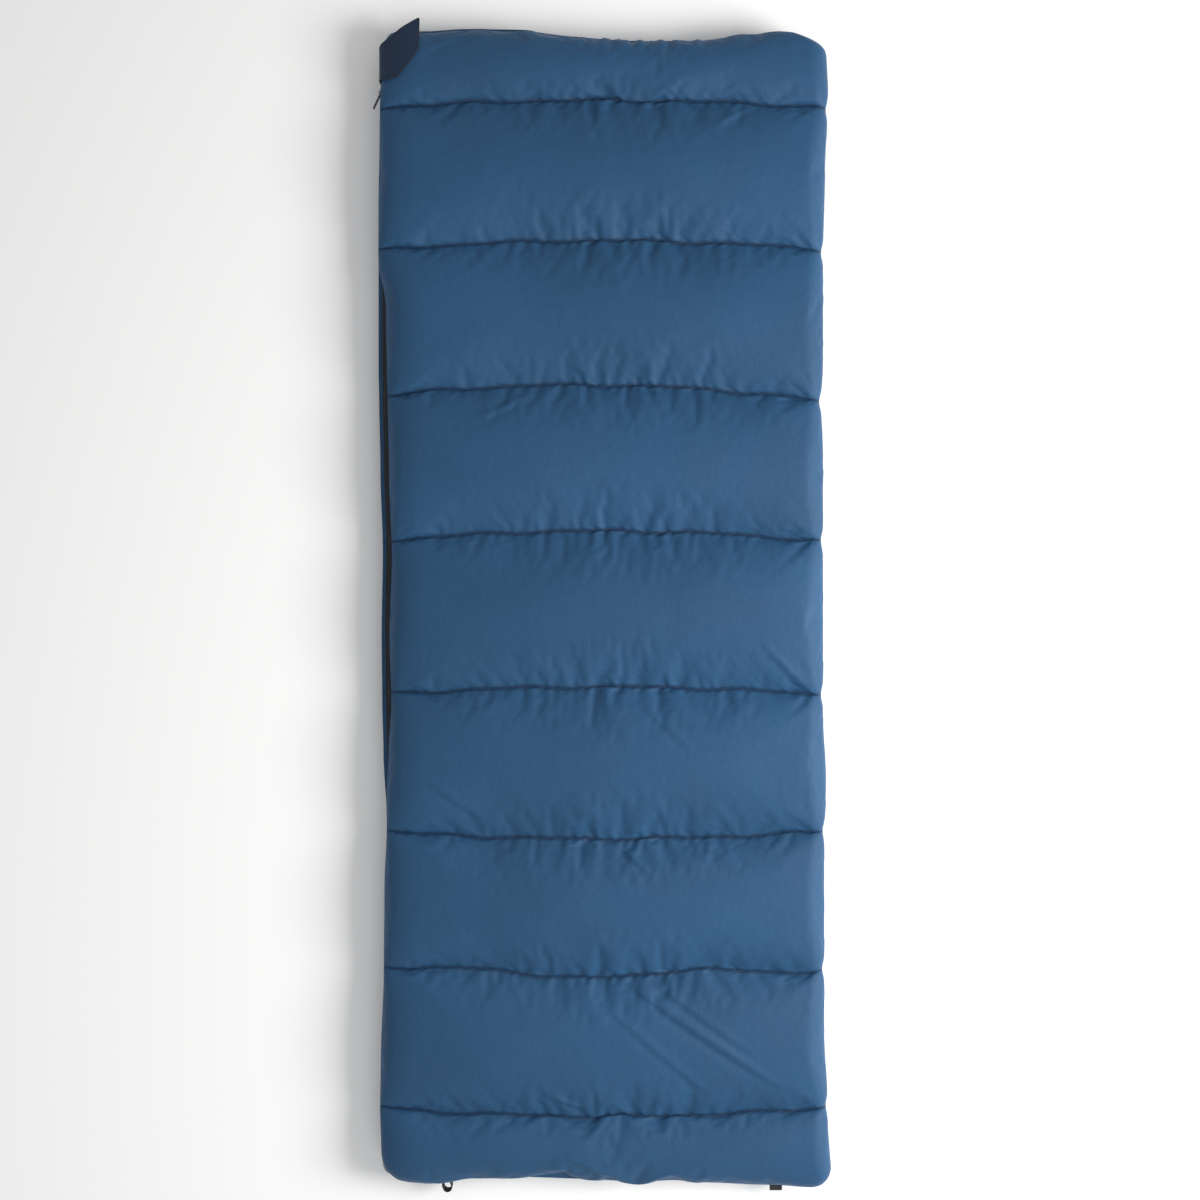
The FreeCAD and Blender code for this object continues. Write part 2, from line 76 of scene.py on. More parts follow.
def surface_material(name, roughness, colour=(0.5, 0.5, 0.5), metallic=0.0):
    """A Principled material with its own sockets set, and its nodes at hand for patterns."""
    material = bpy.data.materials.new(name)
    material.use_nodes = True
    shader = material.node_tree.nodes["Principled BSDF"]
    shader.inputs["Base Color"].default_value = (*colour, 1.0)
    shader.inputs["Roughness"].default_value = roughness
    shader.inputs["Metallic"].default_value = metallic
    return material, material.node_tree, shader


def add_node(tree, kind, **values):
    """A shader node with some of its inputs set."""
    node = tree.nodes.new("ShaderNode" + kind)
    for name, value in values.items():
        node.inputs[name].default_value = value
    return node


def texture(tree, kind, **values):
    """A texture node that is laid in the piece's own frame."""
    node = add_node(tree, kind, **values)
    place = add_node(tree, "TexCoord")
    tree.links.new(place.outputs["Object"], node.inputs["Vector"])
    return node


def raise_bump(tree, shader, height, strength, distance, under=None):
    """Bumps a surface by a pattern's height, on top of another bump if there is one under it."""
    bump = add_node(tree, "Bump", Strength=strength, Distance=distance)
    tree.links.new(height, bump.inputs["Height"])
    if under:
        tree.links.new(under.outputs["Normal"], bump.inputs["Normal"])
    tree.links.new(bump.outputs["Normal"], shader.inputs["Normal"])
    return bump


def mesh_piece(name, points, faces, material, smooth=True):
    """A piece made of points and faces, smooth all over or just where smooth says so."""
    mesh = bpy.data.meshes.new(name)
    mesh.from_pydata(np.reshape(points, (-1, 3)).tolist(), [], faces)
    mesh.polygons.foreach_set("use_smooth", np.full(len(faces), smooth, bool))
    mesh.materials.append(material)
    piece = bpy.data.objects.new(name, mesh)
    bpy.context.collection.objects.link(piece)
    return piece


def studio_floor():
    """A flat square of floor, 40 m across."""
    half = 20.0
    corners = [(-half, -half, 0.0), (half, -half, 0.0), (half, half, 0.0), (-half, half, 0.0)]
    paper, tree, shader = surface_material("pale_paper", 0.9, (0.93, 0.93, 0.93))
    grain = texture(tree, "TexNoise", Scale=40.0)
    raise_bump(tree, shader, grain.outputs["Fac"], 0.02, 0.001)
    mesh_piece("studio_floor", corners, [(0, 1, 2, 3)], paper, smooth=False)


def soft_light(name, place, aim, size, power, colour):
    """A square area light at place, turned to face aim."""
    data = bpy.data.lights.new(name, "AREA")
    data.shape = "SQUARE"
    data.size = size
    data.energy = power
    data.color = colour
    lamp = bpy.data.objects.new(name, data)
    lamp.location = place
    direction = -(lamp.location - type(lamp.location)(aim))
    lamp.rotation_euler = direction.to_track_quat("-Z", "Y").to_euler()
    bpy.context.collection.objects.link(lamp)


studio_floor()
soft_light("key_fold_side", (2.5, -0.3, 1.7), (0.1, -0.1, 0.0), 1.5, 118.0, (1.0, 0.99, 0.97))
soft_light("fill_foot", (0.4, -3.0, 2.6), (0.0, -0.2, 0.0), 2.4, 18.0, (0.95, 0.98, 1.0))
world = bpy.data.worlds.new("soft_room")
world.use_nodes = True
world.node_tree.nodes["Background"].inputs["Color"].default_value = (1.0, 1.0, 1.0, 1.0)
world.node_tree.nodes["Background"].inputs["Strength"].default_value = 0.52
bpy.context.scene.world = world

# ---- Upper quilt's shell -------------------------------------------------------------------------
# Plain-woven polyester over loose batting, sewn through to the liner along eight cross seams. The
# thread gathers the cloth, so it puckers along every seam. Its fold side turns down to meet the lower
# quilt's shell at the outermost line of the fold.

lower_low, lower_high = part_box("lower_shell")
upper_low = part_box("upper_shell")[0]
fold_low, fold_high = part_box("fold_shell")
zip_side, fold_side = lower_low.x, fold_high.x
foot_end, head_end = lower_low.y, lower_high.y
fold_line = fold_low.x
liner_gap = (upper_low.z - lower_high.z) / 2
zip_level = (upper_low.z + lower_high.z) / 2
thread_low, thread_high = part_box("lower_stitching")
seam_rest = np.linspace(thread_low.y + 0.0006, thread_high.y - 0.0006, 8)

MM = 0.001
RIM_RUN = 64 * MM  # how far in from the zip edge the quilt rises
HEM_RUN = 20 * MM  # how far in from the foot and head ends it rises
HEM_THICK = 1.6 * MM
SEAM_LOFT = 10 * MM  # what the thread leaves of the loft
SHOULDER = 8 * MM  # the steep part of the rise beside a seam
SHOULDER_RUN = 4 * MM


def eased(at, places, values):
    """A smooth curve through values at rising places, level at each of them."""
    at = np.asarray(at, float)
    places, values = np.asarray(places, float), np.asarray(values, float)
    left = np.clip(np.searchsorted(places, at) - 1, 0, len(places) - 2)
    share = np.clip((at - places[left]) / (places[left + 1] - places[left]), 0, 1)
    share = share * share * (3 - 2 * share)
    return values[left] + (values[left + 1] - values[left]) * share


def zip_edge(y):
    """Where the lower quilt's zip-side edge lies: the plain edge plus its wander along the bag."""
    stations = [-0.95, -0.83, -0.76, -0.60, -0.46, -0.35, -0.22, -0.13]
    stations += [-0.03, 0.10, 0.24, 0.35, 0.40, 0.65, 0.80, 0.855, 0.90, 0.95]
    wander = [6, 3, 4, 9, 10, 14, 8, 6, 5, 7, 3, 1, 0, 0, 2, 3, 9, 9]
    return zip_side + eased(y, stations, wander) * MM


def slot_width(y):
    """How much further in than the lower edge the upper edge lies, where the zip shows between them."""
    stations = [-0.95, -0.33, -0.22, -0.137, -0.03, 0.097, 0.17, 0.35, 0.50, 0.58, 0.95]
    return eased(y, stations, [1, 1, 10, 16, 14, 16, 15, 15, 13, 1, 1]) * MM


def fold_edge(y):
    """Where the fold's outermost line lies, with a notch at each seam."""
    stations = [-0.95, -0.85, -0.70, -0.40, -0.27, -0.15, 0.26, 0.355, 0.42, 0.58, 0.72, 0.85, 0.95]
    wander = [10, 4, -2, -2, 1, -4, -4, -7, -4, -4, -1, 4, 0]
    notch = np.exp(-(((np.asarray(y)[..., None] - seam_rest) / 0.014) ** 2)).sum(-1)
    return fold_side + (eased(y, stations, wander) - 3.5 * notch) * MM


def corner_turn(distance, across, along):
    """How far a quarter-ellipse corner draws an edge in, at a distance from the bag's end."""
    share = np.clip(1 - distance / along, 0, 1)
    return across * (1 - np.sqrt(1 - share**2))


def cross_lines(side):
    """The ten lines that cross a quilt, foot to head, each as y over x.

    The foot and head edges wave a little. Each seam is the curve through its three drifts, at the zip
    side, in the middle and at the fold.
    """
    drifts = [(9, -6, 9), (2, -9, -3), (-12, -25, -12), (-26, -13, -26)]
    drifts += [(-12, 6, -12), (-11, 8, -20), (-8, 8, -8), (-12, 1, -12)]
    foot_places = [-0.36, -0.28, -0.20, -0.163, -0.08, 0.0, 0.063, 0.115, 0.162, 0.277, 0.345]
    foot_wave = [0, -4, 6, 4, 11, 2, -2, 2, -2, -6, -10]
    head_places = [-0.36, -0.30, -0.226, -0.13, -0.05, 0.06, 0.16, 0.24, 0.29, 0.36]
    head_wave = [-4, 0, 6, 4, -13, -19, -18, -8, -3, -8]
    tuck_places = [-0.34, -0.27, -0.13, -0.06]
    tuck = [0, 7, 7, 0]
    half = (fold_side - zip_side) / 2

    def foot_line(x):
        return foot_end + eased(x, foot_places, foot_wave) * MM

    def head_line(x):
        drawn_back = eased(x, tuck_places, tuck) if side > 0 else 0.0
        bunched = np.exp(-(((x - 0.07) / 0.12) ** 2))
        wave = (1.3 * np.sin(x * 205 + 1) + 1.0 * np.sin(x * 330)) * bunched + 0.6 * np.sin(x * 88)
        return head_end + (eased(x, head_places, head_wave) - drawn_back + wave) * MM

    def seam_line(number):
        left, middle, right = drifts[number]

        def line(x):
            share = x / half
            bend = (left + right - 2 * middle) / 2 * share**2 + (right - left) / 2 * share
            wave = 1.6 * np.sin(x * 31 + number * 2.1) + 1.1 * np.sin(x * 57 + number * 4.7)
            if number == 1:
                wave = wave + 7 * np.sin((x + 0.36) * 14.5) * np.clip(1.3 - abs(share), 0, 1)
            return seam_rest[number] + (middle + bend + wave) * MM

        return line

    return [foot_line, *[seam_line(n) for n in range(8)], head_line]


def row_shares(count):
    """Shares of a channel's length from 0 to 1, closer together near the seams."""
    even = np.linspace(0, 1, count + 1)
    return even - 0.128 * np.sin(2 * np.pi * even)


ROWS_CHANNEL, ROWS_BAND = 34, 18
row_line, row_share = [], []
for band in range(9):
    shares = row_shares(ROWS_BAND if band in (0, 8) else ROWS_CHANNEL)
    row_line += [band] * (len(shares) - 1)
    row_share += list(shares[:-1])
row_line, row_share = np.array(row_line + [8]), np.array(row_share + [1.0])
RIM_CELLS, TOP_CELLS, FOLD_CELLS = 12, 76, 9


def quilt_grid(side, sag):
    """A quilt's outer cloth as a grid: rows run from foot to head, columns from the zip to the fold.

    Across a row the cloth rises from the zip edge on a quarter ellipse, runs level, and goes down a
    second quarter ellipse to the fold's outermost line. The loft along the bag is the seam's loft plus
    sag times a flat-topped hump between two seams. side is 1 for the upper quilt and -1 for the lower.
    """
    lines = cross_lines(side)
    start = np.array([foot_end, *seam_rest, head_end])
    rough_y = start[row_line] + (start[np.minimum(row_line + 1, 9)] - start[row_line]) * row_share
    foot_gap, head_gap = rough_y - foot_end, head_end - rough_y
    in_band = (row_line == 0) | (row_line == 8)
    to_seam = np.abs(rough_y[:, None] - start[None, 1:9]).min(1)
    hump = (1 - np.abs(2 * row_share - 1) ** 2.2) * np.where(in_band, 0.7, 1.0)
    loft = SEAM_LOFT + SHOULDER * (1 - np.exp(-to_seam / SHOULDER_RUN)) + sag * hump
    to_end = np.clip(1 - np.minimum(foot_gap, head_gap) / HEM_RUN, 0, 1)
    loft = HEM_THICK + (loft - HEM_THICK) * np.sqrt(1 - to_end**2)

    left = zip_edge(rough_y) + (slot_width(rough_y) if side > 0 else 0)
    left = left + corner_turn(foot_gap, 0.042, 0.045) + corner_turn(head_gap, 0.022, 0.026)
    right = fold_edge(rough_y)
    right = right - corner_turn(foot_gap, 0.034, 0.030) - corner_turn(head_gap, 0.075, 0.034)
    radius = fold_side - fold_line
    turn_radius = np.minimum(radius, liner_gap + loft)
    top_end = right - turn_radius

    rise = np.linspace(0, np.pi / 2, RIM_CELLS + 1)[:-1]
    level = np.linspace(0, 1, TOP_CELLS + 1)[:-1]
    fall = np.linspace(0, np.pi / 2, FOLD_CELLS + 1)
    rim_x = left[:, None] + RIM_RUN * (1 - np.cos(rise))
    top_x = left[:, None] + RIM_RUN + (top_end - left - RIM_RUN)[:, None] * level
    fold_x = top_end[:, None] + turn_radius[:, None] * np.sin(fall)
    x = np.concatenate([rim_x, top_x, fold_x], 1)
    rim_h = liner_gap + loft[:, None] * np.sin(rise)
    top_h = (liner_gap + loft)[:, None] + 0 * level
    fold_h = (liner_gap + loft)[:, None] * np.cos(fall)
    height = np.concatenate([rim_h, top_h, fold_h], 1)

    edges = np.stack([line(x) for line in lines])
    rows = np.arange(len(row_line))
    near, far = edges[row_line, rows], edges[np.minimum(row_line + 1, 9), rows]
    y = near + (far - near) * row_share[:, None]
    return np.stack([x, y, zip_level + side * height], -1)


def quads_of(number):
    """The quads between the neighbours in a grid of point numbers."""
    corners = [number[:-1, :-1], number[:-1, 1:], number[1:, 1:], number[1:, :-1]]
    return np.stack(corners, -1).reshape(-1, 4)


CHANNEL_LENGTH, BAND_LENGTH = 237 * MM, 118 * MM  # along the bag, between two seams and at an end
SETTLE_STEPS = 18
FURTHEST_MOVE = 18 * MM


def settle(points):
    """Cloth simulation: the sheet is a few percent too big, held along its seams and edges, and blown up
    from inside. Returns how far each point moves, with a cap."""
    rows, columns = points.shape[:2]
    mesh = bpy.data.meshes.new("quilt_cloth")
    number = np.arange(rows * columns).reshape(rows, columns)
    mesh.from_pydata(points.reshape(-1, 3).tolist(), [], quads_of(number).tolist())
    sheet = bpy.data.objects.new("quilt_cloth", mesh)
    bpy.context.collection.objects.link(sheet)
    held = np.zeros((rows, columns), bool)
    held[row_share % 1 == 0] = True
    held[:, 0] = held[:, -1] = True
    held_group = sheet.vertex_groups.new(name="held")
    held_group.add(np.flatnonzero(held).tolist(), 1.0, "REPLACE")
    ease_group = sheet.vertex_groups.new(name="ease")
    across = points[..., 0]
    gathered = 0.06 + 0.60 * np.exp(-(((across - 0.04) / 0.13) ** 2))
    gathered = gathered * (1 + 0.5 * np.sin(across * 61 + np.cos(points[..., 1] * 9) * 3))
    away = np.minimum(row_share, 1 - row_share)[:, None] * CHANNEL_LENGTH
    tightness = np.round(np.clip(1 - gathered * np.exp(-away / 0.028), 0, 1), 1)
    for share in np.unique(tightness):
        members = np.flatnonzero(tightness.ravel() == share)
        ease_group.add(members.tolist(), float(share), "REPLACE")
    cloth = sheet.modifiers.new("cloth", "CLOTH")
    settings = cloth.settings
    settings.vertex_group_mass = "held"
    settings.vertex_group_shrink = "ease"
    settings.shrink_min = -0.055
    settings.shrink_max = -0.002
    settings.quality = 6
    settings.mass = 0.06
    settings.tension_stiffness = 18
    settings.compression_stiffness = 18
    settings.shear_stiffness = 7
    settings.bending_stiffness = 0.8
    settings.use_pressure = True
    settings.uniform_pressure_force = 3.2
    settings.effector_weights.gravity = 0
    cloth.collision_settings.use_collision = False
    cloth.collision_settings.use_self_collision = False
    cloth.point_cache.frame_end = 30
    for step in range(1, SETTLE_STEPS + 1):
        bpy.context.scene.frame_set(step)
    solved = sheet.evaluated_get(bpy.context.evaluated_depsgraph_get())
    moved = np.empty(rows * columns * 3, np.float32)
    solved.data.vertices.foreach_get("co", moved)
    bpy.data.objects.remove(sheet)
    bpy.data.meshes.remove(mesh)
    bpy.context.scene.frame_set(1)
    change = moved.reshape(points.shape).astype(float) - points
    size = np.linalg.norm(change, axis=-1, keepdims=True)
    return change * np.minimum(1, FURTHEST_MOVE / np.maximum(size, 1e-9))


def finer(grid):
    """The grid with a point added between every two, on the cubic through the four nearest."""
    for axis in (0, 1):
        grid = np.swapaxes(grid, 0, axis)
        ends = np.concatenate([2 * grid[:1] - grid[1:2], grid, 2 * grid[-1:] - grid[-2:-1]])
        middle = (9 * (ends[1:-2] + ends[2:-1]) - ends[:-3] - ends[3:]) / 16
        woven = np.empty((2 * len(grid) - 1, *grid.shape[1:]))
        woven[0::2], woven[1::2] = grid, middle
        grid = np.swapaxes(woven, 0, axis)
    return grid


def fold_marks(points):
    """Long soft folds in the cloth. Each is a ridge with a hollow beside it, fading at both ends."""
    marks = [
        ((0.015, -0.600), (0.300, -0.790), 5.0, 8),
        ((0.060, -0.600), (0.255, -0.735), 3.6, 6),
        ((-0.010, -0.640), (0.180, -0.800), 2.8, 7),
        ((0.022, -0.390), (0.090, -0.445), 3.6, 6),
        ((0.130, -0.385), (0.235, -0.430), 2.6, 6),
        ((0.062, -0.160), (0.150, -0.235), 3.0, 7),
        ((0.260, -0.060), (0.345, -0.145), 2.6, 8),
        ((0.100, 0.520), (0.150, 0.490), 2.2, 7),
        ((-0.300, 0.905), (-0.205, 0.945), 2.6, 6),
        ((-0.090, -0.800), (-0.018, -0.830), 2.6, 6),
        ((-0.210, 0.300), (-0.120, 0.345), 1.8, 8),
        ((-0.290, -0.280), (-0.200, -0.345), 2.0, 8),
        ((-0.060, -0.900), (0.010, -0.935), 3.0, 6),
        ((0.180, 0.780), (0.245, 0.820), 2.0, 7),
    ]
    lift = np.zeros(points.shape[:2])
    for start, end, high, width in marks:
        start, end = np.array(start), np.array(end)
        run = end - start
        length = np.hypot(*run)
        along = ((points[..., :2] - start) @ run) / length**2
        away = ((points[..., 0] - start[0]) * run[1] - (points[..., 1] - start[1]) * run[0]) / length
        fade = np.sin(np.pi * np.clip(along, 0, 1)) ** 0.8
        spread = 0.58 * width * MM
        ridge = np.exp(-((away / spread) ** 2))
        hollow = 0.55 * np.exp(-(((away - 1.9 * spread) / (1.3 * spread)) ** 2))
        lift += 0.95 * high * MM * fade * (ridge - hollow)
    return lift


def quilt_cloth_material(name, colour, weave_scale):
    """Plain-woven polyester: two shades in broad clouds, a fine weave and small creases in the bump.

    The cloth's colour carries painted shade in each seam's groove: it is darkened where the mesh's seam
    attribute, written by cloth_piece, is near 1.
    """
    cloth, tree, shader = surface_material(name, 0.58)
    links = tree.links
    cloud = texture(tree, "TexNoise", Scale=5.0, Detail=6.0)
    shades = add_node(tree, "ValToRGB")
    for stop, position, share in zip(shades.color_ramp.elements, (0.3, 0.7), (0.88, 1.08)):
        stop.position = position
        stop.color = (*[min(1, c * share) for c in colour], 1)
    links.new(cloud.outputs["Fac"], shades.inputs["Fac"])
    weave = add_node(tree, "Math")
    weave.operation = "MULTIPLY"
    for number, direction in enumerate("XY"):
        threads = texture(tree, "TexWave", Scale=weave_scale, Distortion=0.6, Detail=1.0)
        threads.bands_direction = direction
        links.new(threads.outputs["Fac"], weave.inputs[number])
    tint, painted_shade_mix = add_node(tree, "Mix"), add_node(tree, "Mix")
    for mix in (tint, painted_shade_mix):
        mix.data_type = "RGBA"
        mix.blend_type = "MULTIPLY"
    tint.inputs["Factor"].default_value = 0.22
    links.new(shades.outputs["Color"], tint.inputs["A"])
    links.new(weave.outputs["Value"], tint.inputs["B"])
    # Painted shade: in each seam's groove the colour is multiplied down towards a dark grey-blue, as far
    # as the seam attribute says.
    groove = add_node(tree, "Attribute")
    groove.attribute_name = "painted_seam_shade"
    painted_shade_mix.inputs["B"].default_value = (0.40, 0.43, 0.48, 1.0)
    links.new(groove.outputs["Fac"], painted_shade_mix.inputs["Factor"])
    links.new(tint.outputs["Result"], painted_shade_mix.inputs["A"])
    links.new(painted_shade_mix.outputs["Result"], shader.inputs["Base Color"])
    creases = texture(tree, "TexNoise", Scale=55.0, Detail=5.0, Distortion=0.8)
    soft = raise_bump(tree, shader, creases.outputs["Fac"], 0.28, 0.003)
    raise_bump(tree, shader, weave.outputs["Value"], 0.35, 0.0002, under=soft)
    shader.inputs["Sheen Weight"].default_value = 0.12
    shader.inputs["Sheen Roughness"].default_value = 0.4
    shader.inputs["Sheen Tint"].default_value = (0.35, 0.6, 1.0, 1.0)
    shader.inputs["Specular IOR Level"].default_value = 0.25
    return cloth


fine_row = np.arange(2 * len(row_line) - 1) / 2
fine_place = np.interp(fine_row, np.arange(len(row_line)), row_line + row_share)
fine_line = np.minimum(fine_place.astype(int), 8)
BACK_DEPTH = 1.2 * MM  # from the liner's level into the quilt
OUTER_COLUMNS = 2 * (RIM_CELLS + TOP_CELLS + FOLD_CELLS) + 1


def with_back(front, side):
    """The outer cloth with the quilt's inner face added, so that every row runs round in a ring.

    From the fold's outermost line the ring goes straight in, turns on to a level just behind the liner
    and runs back along it to the zip edge.
    """
    left, right = front[:, 0, 0], front[:, -1, 0]
    inner = np.concatenate([[fold_line + 23 * MM, fold_line + 8 * MM], np.linspace(fold_line, 0, 9)])
    inner = np.broadcast_to(inner, (len(left), len(inner)))
    last = np.stack([left + (0 - left) * share for share in (0.6, 0.3, 0.03)], -1)
    x = np.concatenate([inner, last], 1)
    x = np.minimum(x, (right - 2 * MM)[:, None])
    lines = cross_lines(side)
    edges = np.stack([line(x) for line in lines])
    rows = np.arange(len(fine_line))
    share = (fine_place - fine_line)[:, None]
    y = edges[fine_line, rows] * (1 - share) + edges[fine_line + 1, rows] * share
    to_end = np.minimum(fine_place, 9 - fine_place)[:, None]
    height = np.full(x.shape, liner_gap) + BACK_DEPTH * np.clip(to_end * 6, 0, 1)
    height[:, 0] = 0
    back = np.stack([x, y, zip_level + side * height], -1)
    return np.concatenate([front, back], 1)


def end_strip(upper_line, lower_line, upper_x, lower_x):
    """Triangles that fill the strip between two lines of points, both in order of x.

    Each step along the upper line meets the lower point nearest to its middle. Each step along the
    lower line meets the upper point where that nearest one changes.
    """
    middle = (upper_x[:-1] + upper_x[1:]) / 2
    nearest = np.abs(middle[:, None] - lower_x[None]).argmin(1)
    above = np.stack([upper_line[1:], upper_line[:-1], lower_line[nearest]], -1)
    switch = np.searchsorted(nearest, np.arange(1, len(lower_line)))
    below = np.stack([lower_line[:-1], lower_line[1:], upper_line[switch]], -1)
    return np.concatenate([above, below])


def cloth_piece(name, ring, side, material):
    """A smooth closed mesh of a ring grid, with a strip of triangles at each end."""
    rows, columns = ring.shape[:2]
    number = np.arange(rows * columns).reshape(rows, columns)
    number = np.concatenate([number, number[:, :1]], 1)
    faces = quads_of(number).tolist()
    outer, inner = number[:, :OUTER_COLUMNS], number[:, -2 : OUTER_COLUMNS - 1 : -1]
    outer_x, inner_x = ring[:, :OUTER_COLUMNS, 0], ring[:, :OUTER_COLUMNS - 1 : -1, 0]
    faces += end_strip(outer[0], inner[0], outer_x[0], inner_x[0]).tolist()
    faces += end_strip(outer[-1], inner[-1], outer_x[-1], inner_x[-1])[:, ::-1].tolist()
    if side < 0:
        faces = [face[::-1] for face in faces]
    piece = mesh_piece(name, ring, faces, material)
    mesh = piece.data
    ends = np.empty(len(mesh.edges) * 2, np.int32)
    mesh.edges.foreach_get("vertices", ends)
    ends = ends.reshape(-1, 2)
    on_rim = np.isin(ends, number[[0, -1]]).all(1)
    sharp = mesh.attributes.new("sharp_edge", "BOOLEAN", "EDGE")
    sharp.data.foreach_set("value", on_rim)
    # Painted shade along the seams: a weight near 1 within about 2 mm of each seam line, on the outer
    # cloth only; the shell's material darkens its colour by it.
    at_foot, at_head = fine_line == 0, fine_line == 8
    band_length = np.where(at_foot | at_head, BAND_LENGTH, CHANNEL_LENGTH)
    past = fine_place - fine_line
    share = np.minimum(np.where(at_foot, 1, past), np.where(at_head, 1, 1 - past))
    shade_weight = np.zeros((rows, columns), np.float32)
    shade_weight[:, :OUTER_COLUMNS] = np.exp(-((share * band_length / (2.2 * MM)) ** 2))[:, None]
    groove = mesh.attributes.new("painted_seam_shade", "FLOAT", "POINT")
    groove.data.foreach_set("value", shade_weight.ravel())
    return piece


SHELL_BLUE = (0.0205, 0.084, 0.187)
shell_cloth = quilt_cloth_material("shell_cloth", SHELL_BLUE, 520.0)

CHANNEL_SAG = 13 * MM
upper_rest = quilt_grid(1, CHANNEL_SAG)
cloth_change = settle(upper_rest)
upper_grid = finer(upper_rest + cloth_change)
on_top = np.clip((upper_grid[..., 2] - zip_level - 0.012) / 0.02, 0, 1)
upper_grid[..., 2] += fold_marks(upper_grid) * on_top
upper_shell = cloth_piece("upper_shell_cloth", with_back(upper_grid, 1), 1, shell_cloth)
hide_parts("upper_shell", "upper_fill", "fold_shell")
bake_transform(upper_shell)

# ---- Lower quilt's shell -------------------------------------------------------------------------
# The same cloth and batting under the sleeper. It lies on the floor, which presses its channels flat.

lower_rest = quilt_grid(-1, CHANNEL_SAG)
lower_change = cloth_change * np.array([1.0, 1.0, -0.8])
lower_change[..., 0] *= 0.5
lower_grid = finer(lower_rest + lower_change)
lower_grid[..., 2] = np.maximum(lower_grid[..., 2], 0.0004)
lower_grid[:, -1] = upper_grid[:, -1]
lower_shell = cloth_piece("lower_shell_cloth", with_back(lower_grid, -1), -1, shell_cloth)
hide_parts("lower_shell", "lower_fill", "fold_fill")
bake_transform(lower_shell)

# ---- Liners --------------------------------------------------------------------------------------
# Brushed dark cloth on the inside of each quilt, sewn through along the same cross seams. At the fold
# the two liners turn a small half circle and meet.

liner_cloth = quilt_cloth_material("liner_cloth", (0.045, 0.05, 0.06), 420.0)
LINER_THICK = 0.8 * MM


def liner_height(x, y, side):
    """How far the liner lies from the zip's level: its gap, less a soft swell between the seams."""
    to_seam = np.abs(y[..., None] - seam_rest).min(-1)
    swell = 2.6 * MM * (1 - np.exp(-to_seam / 0.03))
    ripple = 0.5 * MM * np.sin(x * 97 + side + 2 * np.sin(y * 31)) * np.exp(-to_seam / 0.03)
    end = np.clip(np.minimum(head_end - y, y - foot_end) / 0.06, 0, 1)
    edge = np.clip((fold_line - x) / 0.03, 0, 1) * np.clip((x - zip_side - 0.02) / 0.03, 0, 1)
    return liner_gap - (swell + ripple) * end * edge


def layered(name, grid, thickness, material):
    """A sheet of some thickness about a grid: two copies of it, half the thickness out to each side
    along the cross product of its two directions, joined round the rim."""
    rows, columns = grid.shape[:2]
    along, across = np.gradient(grid, axis=(0, 1))
    normal = np.cross(across, along)
    normal /= np.maximum(np.linalg.norm(normal, axis=-1, keepdims=True), 1e-12)
    both = np.concatenate([grid + normal * thickness / 2, grid - normal * thickness / 2])
    number = np.arange(rows * columns).reshape(rows, columns)
    top = quads_of(number)
    rim = np.concatenate([number[0, :-1], number[:-1, -1], number[-1, :0:-1], number[:0:-1, 0]])
    after = np.roll(rim, -1)
    below = rows * columns
    wall = np.stack([rim, rim + below, after + below, after], -1)
    faces = np.concatenate([top, top[:, ::-1] + below, wall])
    smooth = np.arange(len(faces)) < 2 * len(top)
    return mesh_piece(name, both, faces.tolist(), material, smooth)


def liner_grid(side):
    """Rows from foot to head; across, flat from the zip edge to the fold line, then a quarter turn."""
    lines = cross_lines(side)
    y_share = np.linspace(0, 1, 241)[:, None]
    rough = foot_end + (head_end - foot_end) * y_share
    left = zip_edge(rough) + slot_width(rough) + 12 * MM
    left = left + corner_turn(rough - foot_end, 0.035, 0.045) + corner_turn(head_end - rough, 0.015, 0.026)
    flat_x = left + (fold_line - left) * np.linspace(0, 1, 101)
    turn = np.linspace(0, np.pi / 2, 6)[1:]
    turn_x = fold_line + liner_gap * np.sin(turn) + 0 * rough
    x = np.concatenate([flat_x, turn_x], 1)
    low = np.maximum(lines[0](x) + 3 * MM, foot_end + 1 * MM)
    high = lines[9](x) - 3 * MM
    y = low + (high - low) * y_share
    height = liner_height(x, y, side)
    height[:, 101:] = liner_gap * np.cos(turn)
    return np.stack([x, y, zip_level + side * height], -1)


for word, side in (("lower", -1), ("upper", 1)):
    liner = layered(word + "_liner_cloth", liner_grid(side), LINER_THICK, liner_cloth)
    nodes = [word + "_liner"] + (["fold_liner"] if side < 0 else [])
    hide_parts(*nodes)
    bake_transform(liner)

# ---- Hem facings ---------------------------------------------------------------------------------
# A band of the shell cloth along the inside of the mouth on each quilt, turned under and top-stitched.


def facing_grid(side):
    """The liner's surface near the head hem, lifted by the cloth's thickness."""
    x = np.linspace(zip_side + 0.032, fold_line - 0.004, 160)[None, :]
    back = np.linspace(49, 2.5, 12)[:, None] * MM
    y = cross_lines(side)[9](x) - back
    height = liner_height(x + 0 * y, y, side) - 0.9 * MM
    return np.stack([x + 0 * y, y, zip_level + side * height], -1)


for word, side in (("lower", -1), ("upper", 1)):
    facing = layered(word + "_hem_facing", facing_grid(side), 0.7 * MM, shell_cloth)
    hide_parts(word + "_head_facing")
    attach(facing, word + "_quilt")

# ---- Quilting stitches ---------------------------------------------------------------------------
# Twisted polyester thread, lockstitched through the whole quilt: short stitches end to end in the
# groove of every seam.


def copies(name, template, faces, origins, frames, material):
    """One mesh of many copies of a small form: origin + template turned by each copy's three axes."""
    placed = origins[:, None] + np.einsum("vk,nkc->nvc", template, frames)
    shift = np.arange(len(origins))[:, None, None] * len(template)
    corners = [face for face in faces if len(face) == 4]
    caps = [face for face in faces if len(face) != 4]
    every = (np.array(corners)[None] + shift).reshape(-1, 4).tolist()
    if caps:
        every += (np.array(caps)[None] + shift).reshape(-1, len(caps[0])).tolist()
    return mesh_piece(name, placed, every, material)


